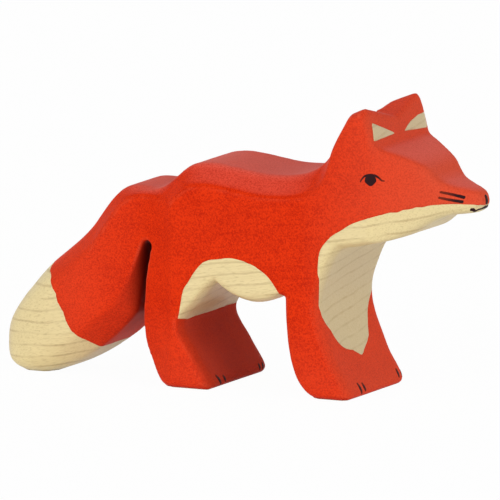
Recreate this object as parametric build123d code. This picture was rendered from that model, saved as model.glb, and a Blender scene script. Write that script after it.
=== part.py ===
"""Carved wooden fox: one sawn block, its stained and clear coats, and black brush marks."""

import math
import os
from collections import namedtuple

from build123d import *

# Lengths are millimetres: x runs forward to the nose, y to the fox's left, z up from the ground
THICKNESS = 33.0

# Flat width between the bevels of the back, its share on the tail, and the bevel's share on the narrow edges
BACK_FLAT = 21.5
TAIL_FLAT_SHARE = 0.77
EDGE_SHARE = 0.4

# Depth of the bevelled edge at the flank, seen from the side
HEAD_BEVEL = 0.8
BACK_BEVEL = 5.0
TAIL_BEVEL = 6.0
TAIL_END_BEVEL = 4.0
TAIL_UNDER_BEVEL = 7.5
ARCH_BEVEL = 1.1
CHEST_BEVEL = 1.4
LEG_BEVEL = 1.0
SOLE_BEVEL = 1.2
SLOT_BEVEL = 0.8

# Head, from the nose over the brow to the ear
NOSE_X = 61.9
NOSE_Z = 48.3
NOSE_TOP_X = 60.9
NOSE_TOP_Z = 50.4
SNOUT_X = 57.6
SNOUT_Z = 51.4
STOP_X = 52.6
STOP_Z = 53.1
BROW_X = 49.2
BROW_Z = 57.0
EAR_FOOT_X = 39.7
EAR_FOOT_Z = 61.0
EAR_RISE = 9.6
EAR_LEAN = 3.1
EAR_BULGE = 0.2
EAR_LENGTH = 3.8
EAR_FALL = 1.7

# Nape, back and rump
NAPE_X = 28.9
NAPE_Z = 62.0
WITHERS_X = 21.8
WITHERS_Z = 54.4
SADDLE_X = 11.0
SADDLE_Z = 52.4
RUMP_X = -9.3
RUMP_Z = 53.8

# Tail, from its root over the top to the tip and back below
TAIL_ROOT_X = -18.6
TAIL_ROOT_Z = 47.4
TAIL_CROWN_X = -29.8
TAIL_CROWN_Z = 46.2
TAIL_NECK_X = -39.5
TAIL_NECK_Z = 34.9
TAIL_BACK_X = -52.8
TAIL_BACK_Z = 22.2
TAIL_END_X = -62.0
TAIL_END_Z = 8.2
TAIL_HEEL_X = -59.6
TAIL_HEEL_Z = 1.5
TAIL_FOOT_X = -50.5
TAIL_FOOT_Z = 0.7
TAIL_UNDER_X = -38.0
TAIL_UNDER_Z = 6.0

# Sawn slot between the tail and the hind legs
SLOT_MOUTH_X = -26.6
SLOT_MOUTH_Z = 16.3
SLOT_TOP_X = -22.1
SLOT_TOP_Z = 34.6
SLOT_WIDTH = 2.8

# Toes of both pairs of legs, rounded under at the sole
TOE_HEIGHT = 1.8
TOE_TUCK = 0.2

# Hind pair of legs
HIND_SHANK_X = -22.8
HIND_SHANK_Z = 13.5
HIND_HOCK_X = -19.2
HIND_HOCK_Z = 3.4
HIND_HEEL_X = -15.8
HIND_TOE_X = -3.8
HIND_INSTEP_X = -7.7
HIND_INSTEP_Z = 8.4
HIND_SHIN_X = -11.4
HIND_SHIN_Z = 15.4
HIND_THIGH_X = -7.4
HIND_THIGH_Z = 20.9

# Arch of the belly
GROIN_X = -2.3
GROIN_Z = 26.3
BELLY_X = 7.0
BELLY_Z = 22.1
ELBOW_X = 15.8
ELBOW_Z = 24.9

# Front pair of legs
FRONT_CALF_X = 16.8
FRONT_CALF_Z = 11.0
FRONT_HOCK_X = 19.2
FRONT_HOCK_Z = 3.8
FRONT_HEEL_X = 23.6
FRONT_TOE_X = 32.6
FRONT_INSTEP_X = 28.5
FRONT_INSTEP_Z = 9.6
FRONT_SHIN_X = 24.8
FRONT_SHIN_Z = 22.0
CHEST_X = 27.4
CHEST_Z = 31.5

# Throat, jaw and lip
THROAT_X = 30.6
THROAT_Z = 36.6
JAW_X = 46.0
JAW_Z = 40.3
CHIN_X = 53.2
CHIN_Z = 44.6
LIP_X = 60.8
LIP_Z = 45.8

# Head seen from above: flat cheeks close in from the ears to the nose and lean in at the top, in degrees
CHEEK_BEHIND_EAR = 2.0
CHEEK_INSET = 0.1
NOSE_HALF = 2.3
CHEEK_LEAN = 1.0

# Valley between the ears: depth of its floor below the back and the tip of the ears, and rise of its sides
VALLEY_BACK_DEPTH = 1.4
VALLEY_TIP_DEPTH = 3.6
VALLEY_RISE = 4.1

# Rump and tail seen from above: how far each flank is cut in from the board, and the rounded end
RUMP_START_X = -13.4
TAIL_WAIST_X = -24.0
TAIL_WAIST_INSET = 4.2
TAIL_SWELL_X = -38.0
TAIL_SWELL_INSET = 2.1
TAIL_TAPER_X = -52.0
TAIL_TAPER_INSET = 4.5
TAIL_TIP_INSET = 8.0
TAIL_TIP_ROUND = 2.0

# Coats of finish
COAT_DEPTH = 0.4

# Clear bib: its edge above the lip, jaw and throat, and its tongue down the front legs
BIB_NOSE_DROP = 0.9
BIB_CHIN_RISE = 3.1
BIB_JAW_RISE = 6.2
BIB_CHEEK_AHEAD = 5.4
BIB_CHEEK_RISE = 7.2
BIB_NECK_BEHIND = 1.2
BIB_NECK_RISE = 2.8
BIB_CHEST_LAP = 0.2
TONGUE_ROOT_INSET = 1.5
TONGUE_WIDE_INSET = 4.9
TONGUE_WIDE_Z = 16.6
TONGUE_MID_INSET = 9.3
TONGUE_MID_Z = 12.6
TONGUE_TIP_Z = 8.7

# Clear arch: its ends on the hind shin and at the elbow, and its edge above the thigh, groin and belly
ARCH_SHIN_RISE = 1.0
ARCH_THIGH_BEHIND = 1.2
ARCH_THIGH_RISE = 5.7
ARCH_PEAK_AHEAD = 2.7
ARCH_PEAK_RISE = 6.0
ARCH_BELLY_AHEAD = 3.0
ARCH_BELLY_RISE = 8.1
ARCH_ELBOW_GAP = 0.8

# Clear tail tip: its edge runs from the top of the tail to a knee and on to the underside
TIP_TOP_AHEAD = 4.4
TIP_TOP_RISE = 3.6
TIP_KNEE_BEHIND = 3.2
TIP_KNEE_RISE = 5.4
TIP_UNDER_AHEAD = 1.2
TIP_UNDER_RISE = 1.6

# Clear triangles inside the ears
EAR_PATCH_BASE = 1.6
EAR_PATCH_HEIGHT = 4.3
EAR_PATCH_INNER = 2.4
EAR_PATCH_INSET = 1.8
EAR_PATCH_DEPTH = 2.8

# Black eyes, with the lid line and the pupil below it
MARK_THICKNESS = 0.15
EYE_BEHIND_EAR = 0.7
EYE_BELOW_EAR = 7.6
EYE_LENGTH = 5.4
EYE_LID_RISE = 1.7
EYE_LID_WIDTH = 0.7
PUPIL_LENGTH = 2.8
PUPIL_DROP = 1.3

# Black whiskers, drooping towards the nose by an angle in degrees
WHISKER_FROM_NOSE = 6.7
WHISKER_RISE = 1.0
WHISKER_LENGTH = 5.6
WHISKER_WIDTH = 0.5
WHISKER_SPACING = 1.2
WHISKER_DROOP = 13.0

# Black nose stroke and mouth line
NOSE_MARK_WIDTH = 0.9
NOSE_MARK_HEIGHT = 2.2
NOSE_MARK_RISE = 0.25
MOUTH_LENGTH = 3.2
MOUTH_WIDTH = 0.5
MOUTH_RISE = 0.4

# Black toe strokes, slanting outwards at the top by an angle in degrees and painted off the middle to the left
TOE_MARK_WIDTH = 0.6
TOE_MARK_HEIGHT = 2.8
TOE_MARK_INSET = 4.6
TOE_MARK_SPACING = 2.5
TOE_MARK_SLANT = 12.0
TOE_MARK_LIFT = 0.5
FRONT_MARK_SHIFT = 2.9
HIND_MARK_SHIFT = 1.4

# How far cutting blocks reach past the figure, and how far a cut starts outside a face that it meets
REACH = 60.0
OVERSHOOT = 0.3

half_thickness = THICKNESS / 2
half_flat = BACK_FLAT / 2
half_tail = half_flat * TAIL_FLAT_SHARE
half_edge = half_thickness - (half_thickness - half_flat) * EDGE_SHARE
cheek_x = EAR_FOOT_X - CHEEK_BEHIND_EAR
cheek_half = half_thickness - CHEEK_INSET

# Kinds of bevel: the depth at the flank and how far from the middle of the board it starts
HEAD = (HEAD_BEVEL, half_edge)
BACK = (BACK_BEVEL, half_flat)
TAIL = (TAIL_BEVEL, half_tail)
TAIL_END = (TAIL_END_BEVEL, half_tail)
TAIL_UNDER = (TAIL_UNDER_BEVEL, half_tail)
ARCH = (ARCH_BEVEL, half_edge)
CHEST = (CHEST_BEVEL, half_edge)
LEG = (LEG_BEVEL, half_edge)
SOLE = (SOLE_BEVEL, half_edge)
SLOT = (SLOT_BEVEL, half_edge)

Spot = namedtuple("Spot", "x z bevel start")

# Corners of the side outline
nose_tip = Spot(NOSE_X, NOSE_Z, *HEAD)
ear_foot = Spot(EAR_FOOT_X, EAR_FOOT_Z, *HEAD)
ear_front = Spot(EAR_FOOT_X - EAR_LEAN / 2 + EAR_BULGE, EAR_FOOT_Z + EAR_RISE / 2, *HEAD)
ear_tip = Spot(EAR_FOOT_X - EAR_LEAN, EAR_FOOT_Z + EAR_RISE, *HEAD)
ear_back = Spot(ear_tip.x - EAR_LENGTH, ear_tip.z - EAR_FALL, *HEAD)
slot_mouth = Spot(SLOT_MOUTH_X, SLOT_MOUTH_Z, *TAIL_UNDER)
slot_left = Spot(SLOT_TOP_X - SLOT_WIDTH / 2, SLOT_TOP_Z - SLOT_WIDTH / 2, *SLOT)
slot_top = Spot(SLOT_TOP_X, SLOT_TOP_Z, *SLOT)
slot_right = Spot(SLOT_TOP_X + SLOT_WIDTH / 2, SLOT_TOP_Z - SLOT_WIDTH / 2, *SLOT)
hind_heel = Spot(HIND_HEEL_X, 0.0, *SOLE)
hind_toe = Spot(HIND_TOE_X - TOE_TUCK, 0.0, *SOLE)
groin = Spot(GROIN_X, GROIN_Z, *ARCH)
elbow = Spot(ELBOW_X, ELBOW_Z, *LEG)
front_heel = Spot(FRONT_HEEL_X, 0.0, *SOLE)
front_toe = Spot(FRONT_TOE_X - TOE_TUCK, 0.0, *SOLE)
throat = Spot(THROAT_X, THROAT_Z, *CHEST)

# Side outline as smooth runs from corner to corner, anticlockwise from the nose
RUNS = [
    [
        nose_tip,
        Spot(NOSE_TOP_X, NOSE_TOP_Z, *HEAD),
        Spot(SNOUT_X, SNOUT_Z, *HEAD),
        Spot(STOP_X, STOP_Z, *HEAD),
        Spot(BROW_X, BROW_Z, *HEAD),
        ear_foot,
    ],
    [ear_foot, ear_front, ear_tip],
    [ear_tip, ear_back],
    [
        ear_back,
        Spot(NAPE_X, NAPE_Z, *HEAD),
        Spot(WITHERS_X, WITHERS_Z, *BACK),
        Spot(SADDLE_X, SADDLE_Z, *BACK),
        Spot(RUMP_X, RUMP_Z, *BACK),
        Spot(TAIL_ROOT_X, TAIL_ROOT_Z, *BACK),
        Spot(TAIL_CROWN_X, TAIL_CROWN_Z, *TAIL),
        Spot(TAIL_NECK_X, TAIL_NECK_Z, *TAIL),
        Spot(TAIL_BACK_X, TAIL_BACK_Z, *TAIL),
        Spot(TAIL_END_X, TAIL_END_Z, *TAIL_END),
        Spot(TAIL_HEEL_X, TAIL_HEEL_Z, *TAIL_END),
        Spot(TAIL_FOOT_X, TAIL_FOOT_Z, *TAIL_UNDER),
        Spot(TAIL_UNDER_X, TAIL_UNDER_Z, *TAIL_UNDER),
        slot_mouth,
    ],
    [slot_mouth, slot_left],
    [slot_left, slot_top, slot_right],
    [slot_right, Spot(HIND_SHANK_X, HIND_SHANK_Z, *LEG), Spot(HIND_HOCK_X, HIND_HOCK_Z, *LEG), hind_heel],
    [hind_heel, hind_toe],
    [
        hind_toe,
        Spot(HIND_TOE_X, TOE_HEIGHT, *LEG),
        Spot(HIND_INSTEP_X, HIND_INSTEP_Z, *LEG),
        Spot(HIND_SHIN_X, HIND_SHIN_Z, *LEG),
        Spot(HIND_THIGH_X, HIND_THIGH_Z, *ARCH),
        groin,
    ],
    [groin, Spot(BELLY_X, BELLY_Z, *ARCH), elbow],
    [elbow, Spot(FRONT_CALF_X, FRONT_CALF_Z, *LEG), Spot(FRONT_HOCK_X, FRONT_HOCK_Z, *LEG), front_heel],
    [front_heel, front_toe],
    [
        front_toe,
        Spot(FRONT_TOE_X, TOE_HEIGHT, *LEG),
        Spot(FRONT_INSTEP_X, FRONT_INSTEP_Z, *LEG),
        Spot(FRONT_SHIN_X, FRONT_SHIN_Z, *CHEST),
        Spot(CHEST_X, CHEST_Z, *CHEST),
        throat,
    ],
    [
        throat,
        Spot(JAW_X, JAW_Z, *HEAD),
        Spot(CHIN_X, CHIN_Z, *HEAD),
        Spot(LIP_X, LIP_Z, *HEAD),
        nose_tip,
    ],
]


def unit(dx, dz):
    """Direction of a step, with length one."""
    length = math.hypot(dx, dz)
    return dx / length, dz / length


def bevel_depth(spot, station):
    """How far the bevel has cut in at a spot, at a distance from the middle of the board."""
    return spot.bevel * max(0.0, station - spot.start) / (half_thickness - spot.start)


def inward_runs(station, inset):
    """The outline's runs at a distance from the middle, each spot moved in by its bevel and by the inset."""
    loop = [spot for run in RUNS for spot in run[:-1]]
    moved = {}
    for index, spot in enumerate(loop):
        before = loop[index - 1]
        after = loop[(index + 1) % len(loop)]
        ax, az = unit(spot.x - before.x, spot.z - before.z)
        bx, bz = unit(after.x - spot.x, after.z - spot.z)
        depth = (bevel_depth(spot, station) + inset) / (1 + ax * bx + az * bz)
        x = spot.x - (az + bz) * depth
        z = spot.z + (ax + bx) * depth
        if spot.z == 0.0:
            z = bevel_depth(spot, station) - OVERSHOOT
        moved[spot] = (x, z)
    return [[moved[spot] for spot in run] for run in RUNS]


def tangent(points, index):
    """Direction of a smooth run at one of its points, mirrored from its neighbour at the run's ends."""
    last = len(points) - 1
    if 0 < index < last:
        return (points[index + 1] - points[index - 1]).normalized()
    inner = 1 if index == 0 else last - 1
    chord = (points[inner] - points[index]).normalized()
    if last == 1:
        return chord if index == 0 else -chord
    neighbour = tangent(points, inner)
    return chord * (2 * chord.dot(neighbour)) - neighbour


def smooth_edges(points):
    """Curves through the points in order, one for each span, that meet without a kink."""
    edges = []
    for index, (start, end) in enumerate(zip(points, points[1:])):
        reach = (end - start).length / 3
        first = start + tangent(points, index) * reach
        second = end - tangent(points, index + 1) * reach
        edges.append(Edge.make_bezier(start, first, second, end))
    return edges


def section(station, side, inset):
    """Closed side outline of the figure at a distance from the middle, on the left (1) or right (-1)."""
    y = side * (station - inset)
    edges = []
    for run in inward_runs(station, inset):
        edges += smooth_edges([Vector(x, y, z) for x, z in run])
    return Wire(edges)


def sawn_block(inset):
    """The block sawn to the side outline, with its long edges bevelled and its feet left a little long."""
    stations = [half_thickness, half_edge, half_flat, half_tail]
    right = [section(station, -1, inset) for station in stations]
    left = [section(station, 1, inset) for station in reversed(stations)]
    return Solid.make_loft(right + left, ruled=True)


def plan_block(inset):
    """Upright block that narrows the rump and tail seen from above."""
    flank_y = half_thickness - inset
    start = Vector(RUMP_START_X, flank_y + OVERSHOOT)
    waist = Vector(TAIL_WAIST_X, flank_y - TAIL_WAIST_INSET)
    swell = Vector(TAIL_SWELL_X, flank_y - TAIL_SWELL_INSET)
    taper = Vector(TAIL_TAPER_X, flank_y - TAIL_TAPER_INSET)
    end = Vector(TAIL_END_X + inset - OVERSHOOT, 0)
    tip = Vector(end.X + TAIL_TIP_ROUND, flank_y - TAIL_TIP_INSET)
    wide = Vector(RUMP_START_X, REACH)
    front = Vector(NOSE_X + REACH, REACH)
    flank = Edge.make_line(start, wide)
    margin = Edge.make_line(wide, front)
    half_plan = smooth_edges([tip, taper, swell, waist, start]) + [flank, margin]
    mirrored = [edge.mirror(Plane.XZ) for edge in half_plan]
    ahead = Edge.make_line(front, Vector(front.X, -front.Y))
    behind = Edge.make_three_point_arc(tip, end, Vector(tip.X, -tip.Y))
    plan = Face(Wire(half_plan + mirrored + [ahead, behind]))
    return Solid.extrude(plan.moved(Pos(0, 0, -REACH)), Vector(0, 0, 4 * REACH))


def cheek_waste(side, inset):
    """Wood that a flat cheek cut takes off, on the left (1) or right (-1) of the head."""
    out_x, out_y = unit(cheek_half - NOSE_HALF, NOSE_X - cheek_x)
    lean = math.radians(CHEEK_LEAN)
    outward = Vector(out_x * math.cos(lean), side * out_y * math.cos(lean), math.sin(lean))
    corner = Vector(cheek_x, side * cheek_half, NOSE_Z) - outward * inset
    cut = Plane(origin=corner, z_dir=outward)
    return cut * Pos(0, 0, REACH) * Box(4 * REACH, 4 * REACH, 2 * REACH)


def valley_waste(inset):
    """Wood taken out between the ears, as a shallow trough with straight sides."""
    floor_back = Vector(ear_back.x, 0, ear_back.z - VALLEY_BACK_DEPTH - inset)
    floor_tip = Vector(ear_tip.x, 0, ear_tip.z - VALLEY_TIP_DEPTH - inset)
    fall = floor_tip - floor_back
    start = floor_back - fall
    corner_rise = Vector(0, 0, VALLEY_RISE)
    corner_out = Vector(0, half_thickness, 0)
    corners = [start, start + corner_rise + corner_out, start + corner_rise - corner_out]
    return Solid.extrude(Face(Wire.make_polygon(corners, close=True)), fall * 4)


def carve(inset):
    """The whole carved figure with its long feet, every face but the soles moved into the wood by the inset."""
    figure = sawn_block(inset) & plan_block(inset)
    for side in (1, -1):
        figure -= cheek_waste(side, inset)
    return figure - valley_waste(inset)


def trimmed_feet(figure):
    """The figure with its feet cut flat at the ground."""
    return figure - Pos(0, 0, -REACH) * Box(4 * REACH, 4 * REACH, 2 * REACH)


def across(face):
    """Block that holds a side outline, right through the figure."""
    return Solid.extrude(face.moved(Pos(0, -REACH, 0)), Vector(0, 2 * REACH, 0))


def along(face, back, front):
    """Block that holds a front outline between two stations along the figure."""
    return Solid.extrude(face.moved(Pos(back, 0, 0)), Vector(front - back, 0, 0))


def side_face(points):
    """Face in the middle plane from corners given as x and z."""
    return Face(Wire.make_polygon([Vector(x, 0, z) for x, z in points], close=True))


def front_face(points):
    """Face across the figure from corners given as y and z."""
    return Face(Wire.make_polygon([Vector(0, y, z) for y, z in points], close=True))


def closed_face(curve, corners):
    """Face inside a smooth curve through its points, closed by straight lines through the corners."""
    path = [curve[-1]] + corners + [curve[0]]
    lines = [Edge.make_line(start, end) for start, end in zip(path, path[1:])]
    return Face(Wire(smooth_edges(curve) + lines))


def bib_zone():
    """Space that the clear chin, throat and chest take up."""
    lip_z = NOSE_Z - BIB_NOSE_DROP
    line = [
        (NOSE_X, lip_z),
        (CHIN_X, CHIN_Z + BIB_CHIN_RISE),
        (JAW_X, JAW_Z + BIB_JAW_RISE),
        (THROAT_X + BIB_CHEEK_AHEAD, THROAT_Z + BIB_CHEEK_RISE),
        (THROAT_X - BIB_NECK_BEHIND, THROAT_Z + BIB_NECK_RISE),
        (CHEST_X - CHEST_BEVEL - BIB_CHEST_LAP, CHEST_Z),
        (FRONT_SHIN_X, FRONT_SHIN_Z),
    ]
    ahead = [Vector(NOSE_X + REACH, 0, FRONT_SHIN_Z), Vector(NOSE_X + REACH, 0, lip_z)]
    flank = across(closed_face([Vector(x, 0, z) for x, z in line], ahead))
    tongue = [
        (half_thickness - TONGUE_ROOT_INSET, FRONT_SHIN_Z),
        (half_thickness - TONGUE_WIDE_INSET, TONGUE_WIDE_Z),
        (half_thickness - TONGUE_MID_INSET, TONGUE_MID_Z),
        (0.0, TONGUE_TIP_Z),
    ]
    left = [Vector(0, y, z) for y, z in tongue]
    root = Vector(0, half_thickness - TONGUE_ROOT_INSET, THROAT_Z)
    middle = Vector(0, 0, THROAT_Z)
    shin_middle = (FRONT_CALF_X + FRONT_SHIN_X) / 2
    left_half = along(closed_face(left, [middle, root]), shin_middle, NOSE_X)
    return flank + left_half + left_half.mirror(Plane.XZ)


def belly_zone():
    """Space that the clear arch takes up, on both flanks and below the belly."""
    arch_end_z = HIND_SHIN_Z + ARCH_SHIN_RISE
    line = [
        (HIND_SHIN_X - LEG_BEVEL, arch_end_z),
        (HIND_THIGH_X - ARCH_THIGH_BEHIND, HIND_THIGH_Z + ARCH_THIGH_RISE),
        (GROIN_X + ARCH_PEAK_AHEAD, GROIN_Z + ARCH_PEAK_RISE),
        (BELLY_X + ARCH_BELLY_AHEAD, BELLY_Z + ARCH_BELLY_RISE),
        (ELBOW_X - ARCH_ELBOW_GAP, ELBOW_Z - ARCH_ELBOW_GAP),
    ]
    return across(closed_face([Vector(x, 0, z) for x, z in line], [Vector(BELLY_X, 0, arch_end_z)]))


def tail_zone():
    """Space that the clear tail tip takes up."""
    knee = Vector(TAIL_UNDER_X - TIP_KNEE_BEHIND, 0, TAIL_UNDER_Z + TIP_KNEE_RISE)
    top = Vector(TAIL_BACK_X + TIP_TOP_AHEAD, 0, TAIL_BACK_Z + TIP_TOP_RISE)
    under = Vector(TAIL_UNDER_X + TIP_UNDER_AHEAD, 0, TAIL_UNDER_Z + TIP_UNDER_RISE)
    over = top * 2 - knee
    below = under * 2 - knee
    return across(side_face([
        (over.X, over.Z),
        (knee.X, knee.Z),
        (below.X, below.Z),
        (below.X, -REACH),
        (TAIL_END_X - REACH, -REACH),
        (TAIL_END_X - REACH, over.Z),
    ]))


def ear_zone(side):
    """Space that the clear triangle takes up on the front of one ear."""
    outer = cheek_half - EAR_PATCH_INSET
    base_z = EAR_FOOT_Z + EAR_PATCH_BASE
    triangle = front_face([
        (side * EAR_PATCH_INNER, base_z),
        (side * outer, base_z),
        (side * outer, base_z + EAR_PATCH_HEIGHT),
    ])
    return along(triangle, EAR_FOOT_X - EAR_PATCH_DEPTH, EAR_FOOT_X + EAR_PATCH_DEPTH)


def stroke(length, width, angle):
    """Straight brush stroke with round ends, turned in its own plane."""
    return Rot(0, 0, angle) * SlotOverall(length, width)


def flank_block(sketch, x, z, side):
    """Block through one flank of the figure, from a sketch drawn as x and z."""
    outline = Pos(x, 0, z) * Rot(90, 0, 0) * sketch
    return extrude(outline, amount=side * REACH, dir=Vector(0, 1, 0))


def eye_block(side):
    """Block of a lid line that arches over a pupil with a pointed lower edge."""
    half = EYE_LENGTH / 2
    lid_low = EYE_LID_RISE - EYE_LID_WIDTH
    brow = Edge.make_three_point_arc(Vector(half, 0), Vector(0, EYE_LID_RISE), Vector(-half, 0))
    under = Edge.make_three_point_arc(Vector(-half, 0), Vector(0, lid_low), Vector(half, 0))
    pupil_top = (EYE_LID_RISE + lid_low) / 2
    pupil = Wire.make_polygon([
        Vector(-PUPIL_LENGTH / 2, pupil_top),
        Vector(0, -PUPIL_DROP),
        Vector(PUPIL_LENGTH / 2, pupil_top),
    ], close=True)
    sketch = Sketch() + Face(Wire([brow, under])) + Face(pupil)
    return flank_block(sketch, EAR_FOOT_X - EYE_BEHIND_EAR, EAR_FOOT_Z - EYE_BELOW_EAR, side)


def whisker_blocks(side):
    """Blocks of two parallel strokes that droop towards the nose."""
    x = NOSE_X - WHISKER_FROM_NOSE
    middle = NOSE_Z + WHISKER_RISE
    line = stroke(WHISKER_LENGTH, WHISKER_WIDTH, -WHISKER_DROOP)
    return [flank_block(line, x, middle + row * WHISKER_SPACING / 2, side) for row in (1, -1)]


def nose_block():
    """Block down the front of the nose, for its upright stroke."""
    half = NOSE_MARK_WIDTH / 2
    top = NOSE_Z + NOSE_MARK_RISE + NOSE_MARK_HEIGHT / 2
    low = top - NOSE_MARK_HEIGHT
    outline = front_face([(half, top), (-half, top), (-half, low), (half, low)])
    return along(outline, NOSE_X - NOSE_MARK_HEIGHT, NOSE_X + REACH)


def mouth_block():
    """Block across the lip, for the mouth line that goes round the end of the snout."""
    back = NOSE_X - MOUTH_LENGTH
    ahead = NOSE_X + REACH
    low = LIP_Z + MOUTH_RISE
    top = low + MOUTH_WIDTH
    return across(side_face([(back, low), (ahead, low), (ahead, top), (back, top)]))


def toe_blocks(toe_x, side, shift):
    """Blocks at the front of one foot, for its two slanting toe strokes."""
    blocks = []
    for row in (0, 1):
        y = side * (half_thickness - TOE_MARK_INSET - row * TOE_MARK_SPACING) + shift
        foot = (toe_x - TOE_MARK_HEIGHT, y, TOE_MARK_LIFT + TOE_MARK_HEIGHT / 2)
        facing = Plane(origin=foot, x_dir=(0, 1, 0), z_dir=(1, 0, 0))
        outline = facing * stroke(TOE_MARK_HEIGHT, TOE_MARK_WIDTH, 90 - side * TOE_MARK_SLANT)
        blocks.append(extrude(outline, amount=2 * TOE_MARK_HEIGHT))
    return blocks


def coats(coat):
    """The coat on the wood, parted by name into each clear area and the red stain on what is left."""
    zones = {
        "throat_bib": bib_zone(),
        "belly_patch": belly_zone(),
        "tail_tip": tail_zone(),
        "ear_inside_left": ear_zone(1),
        "ear_inside_right": ear_zone(-1),
    }
    pieces = {}
    for name, zone in zones.items():
        pieces[name] = (coat & zone).solids()
        coat -= zone
    pieces["red_coat"] = coat.solids()
    return pieces


def brush_marks(finished, painted):
    """The black brush marks by name, each a film between the finished and the painted surface."""
    blocks = {"nose_line": [nose_block()], "mouth_line": [mouth_block()]}
    for name, side in (("left", 1), ("right", -1)):
        blocks[f"eye_{name}"] = [eye_block(side)]
        blocks[f"whiskers_{name}"] = whisker_blocks(side)
        blocks[f"toe_lines_front_{name}"] = toe_blocks(FRONT_TOE_X, side, FRONT_MARK_SHIFT)
        blocks[f"toe_lines_hind_{name}"] = toe_blocks(HIND_TOE_X, side, HIND_MARK_SHIFT)
    films = {}
    for name, cutters in blocks.items():
        films[name] = [solid for block in cutters for solid in ((painted & block) - finished).solids()]
    return films


def save(name, solids):
    """Write one piece, as a group where it is several separate solids."""
    shape = solids[0] if len(solids) == 1 else Compound(children=solids)
    shape.label = name
    export_step(shape, f"parts/{name}.step")


def main():
    os.makedirs("parts", exist_ok=True)
    finished = trimmed_feet(carve(0.0))
    inside = carve(COAT_DEPTH)
    painted = carve(-MARK_THICKNESS)
    pieces = {"wood_core": (finished & inside).solids()}
    pieces |= coats(finished - inside)
    pieces |= brush_marks(finished, painted)
    for name, solids in pieces.items():
        save(name, solids)


if __name__ == "__main__":
    main()
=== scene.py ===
"""Finish of a carved wooden fox: the sanded wood, its stained and clear coats, and its brush marks."""

import math

import bmesh
import bpy
from bpy.props import FloatProperty, FloatVectorProperty, IntProperty, PointerProperty
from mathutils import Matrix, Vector, noise
from mathutils.bvhtree import BVHTree


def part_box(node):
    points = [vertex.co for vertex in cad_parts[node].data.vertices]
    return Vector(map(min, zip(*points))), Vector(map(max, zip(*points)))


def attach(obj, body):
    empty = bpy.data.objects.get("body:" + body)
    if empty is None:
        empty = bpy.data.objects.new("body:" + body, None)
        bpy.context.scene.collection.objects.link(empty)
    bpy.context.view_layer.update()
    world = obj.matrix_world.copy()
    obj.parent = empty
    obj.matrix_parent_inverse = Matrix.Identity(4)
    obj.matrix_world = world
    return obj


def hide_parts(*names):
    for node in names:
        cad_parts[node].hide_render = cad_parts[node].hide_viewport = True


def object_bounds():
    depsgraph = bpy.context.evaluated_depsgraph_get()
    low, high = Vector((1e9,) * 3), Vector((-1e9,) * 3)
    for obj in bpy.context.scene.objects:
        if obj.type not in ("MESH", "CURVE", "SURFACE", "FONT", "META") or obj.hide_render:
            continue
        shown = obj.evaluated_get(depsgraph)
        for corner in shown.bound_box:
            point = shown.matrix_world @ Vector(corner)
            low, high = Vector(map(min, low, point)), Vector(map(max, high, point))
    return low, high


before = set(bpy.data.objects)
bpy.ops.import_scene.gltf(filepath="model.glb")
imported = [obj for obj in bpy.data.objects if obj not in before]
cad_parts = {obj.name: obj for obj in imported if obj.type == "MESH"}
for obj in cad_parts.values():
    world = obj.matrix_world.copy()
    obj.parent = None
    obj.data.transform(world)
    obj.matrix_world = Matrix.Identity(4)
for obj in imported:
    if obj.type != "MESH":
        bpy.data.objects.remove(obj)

bl_info = {
    "name": "Carved wooden fox",
    "version": (1, 0, 0),
    "blender": (4, 5, 0),
    "location": "View3D > Sidebar > Fox",
    "description": "Sands, stains and paints a sawn wooden fox around its solid pieces",
    "category": "Add Mesh",
}

MM = 0.001
CAD_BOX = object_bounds()
BODY = "root"

CLEAR_COATS = ("throat_bib", "belly_patch", "tail_tip", "ear_inside_left", "ear_inside_right")
COATS = ("red_coat",) + CLEAR_COATS
SOLES = len(COATS)
SIDES = {"left": 1, "right": -1}
SANDED = "sanded_figure"
GRAIN_TURN = (math.radians(8), math.radians(-8), 0)

# Values that the sanded surface and the paint carry
ZONE = "zone"
WEAR = "wear"
FACING = "facing"
# Share of each point's view that other wood takes up; the red stain turns darker there, partly pooled stain
# and partly painted shade
OCCLUSION = "occlusion"
LOAD = "paint_load"

# How far the further sanding reaches back from the tail tip's root, forward of the ears and up the feet
TAIL_REACH = 12 * MM
HEAD_REACH = 7 * MM
FOOT_REACH = 7 * MM

# Height and slope under which a point belongs to a flat sole
SOLE_BAND = 0.3 * MM
SOLE_SLOPE = -0.9

# Looks round each point for wood that shelters it: how many, from how far above it, how steep and how far
SHELTER_RAYS = 40
SHELTER_LIFT = 0.3 * MM
SHELTER_SLOPE = 0.15
SHELTER_REACH = 22 * MM

# Rounds that even out what neighbouring points carry
SHELTER_ROUNDS = 20
FACING_ROUNDS = 16

# Share of an edge that a coat's line keeps clear of its ends
CUT_MARGIN = 0.05

# Faces of one brush stroke, how far the brush feels for the wood, and how ragged its edge is
STROKE_STEPS = 28
STROKE_ROWS = 6
BRUSH_REACH = 3 * MM
BRUSH_RAGGED = 0.10
BRUSH_HAIRS = 0.6 * MM

# Distance under which loose corners are one, in the solids and in a stroke's ends
SOLID_JOIN = 0.001 * MM
STROKE_JOIN = 0.004 * MM

# Turn and height of each light round the figure, the lights' width, and the floor's size and white
KEY_PLACE = (math.radians(-15), math.radians(12))
FILL_PLACE = (math.radians(75), math.radians(20))
LIGHT_WIDTH = math.radians(40)
FLOOR_SIZE = 30.0
FLOOR_WHITE = (0.95, 0.95, 0.95, 1)
FLOOR_GLOW = 0.97

# Corners of the bare wood in each ear, as shares of its solid's width outwards and of its height
EAR_CORNERS = {
    "ear_inside_left": (
        (-0.03, 0.12), (0.975, -0.07), (1.06, 0.77), (0.71, 0.72), (0.385, 0.55), (0.17, 0.37)),
    "ear_inside_right": ((0.03, 0.16), (1.0, 0.07), (0.90, 1.05)),
}

# How much a point of the ear has to look forward, and how far its edge wanders beside the other coats
EAR_SLOPE = 0.2
EAR_WANDER = 0.4

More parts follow.
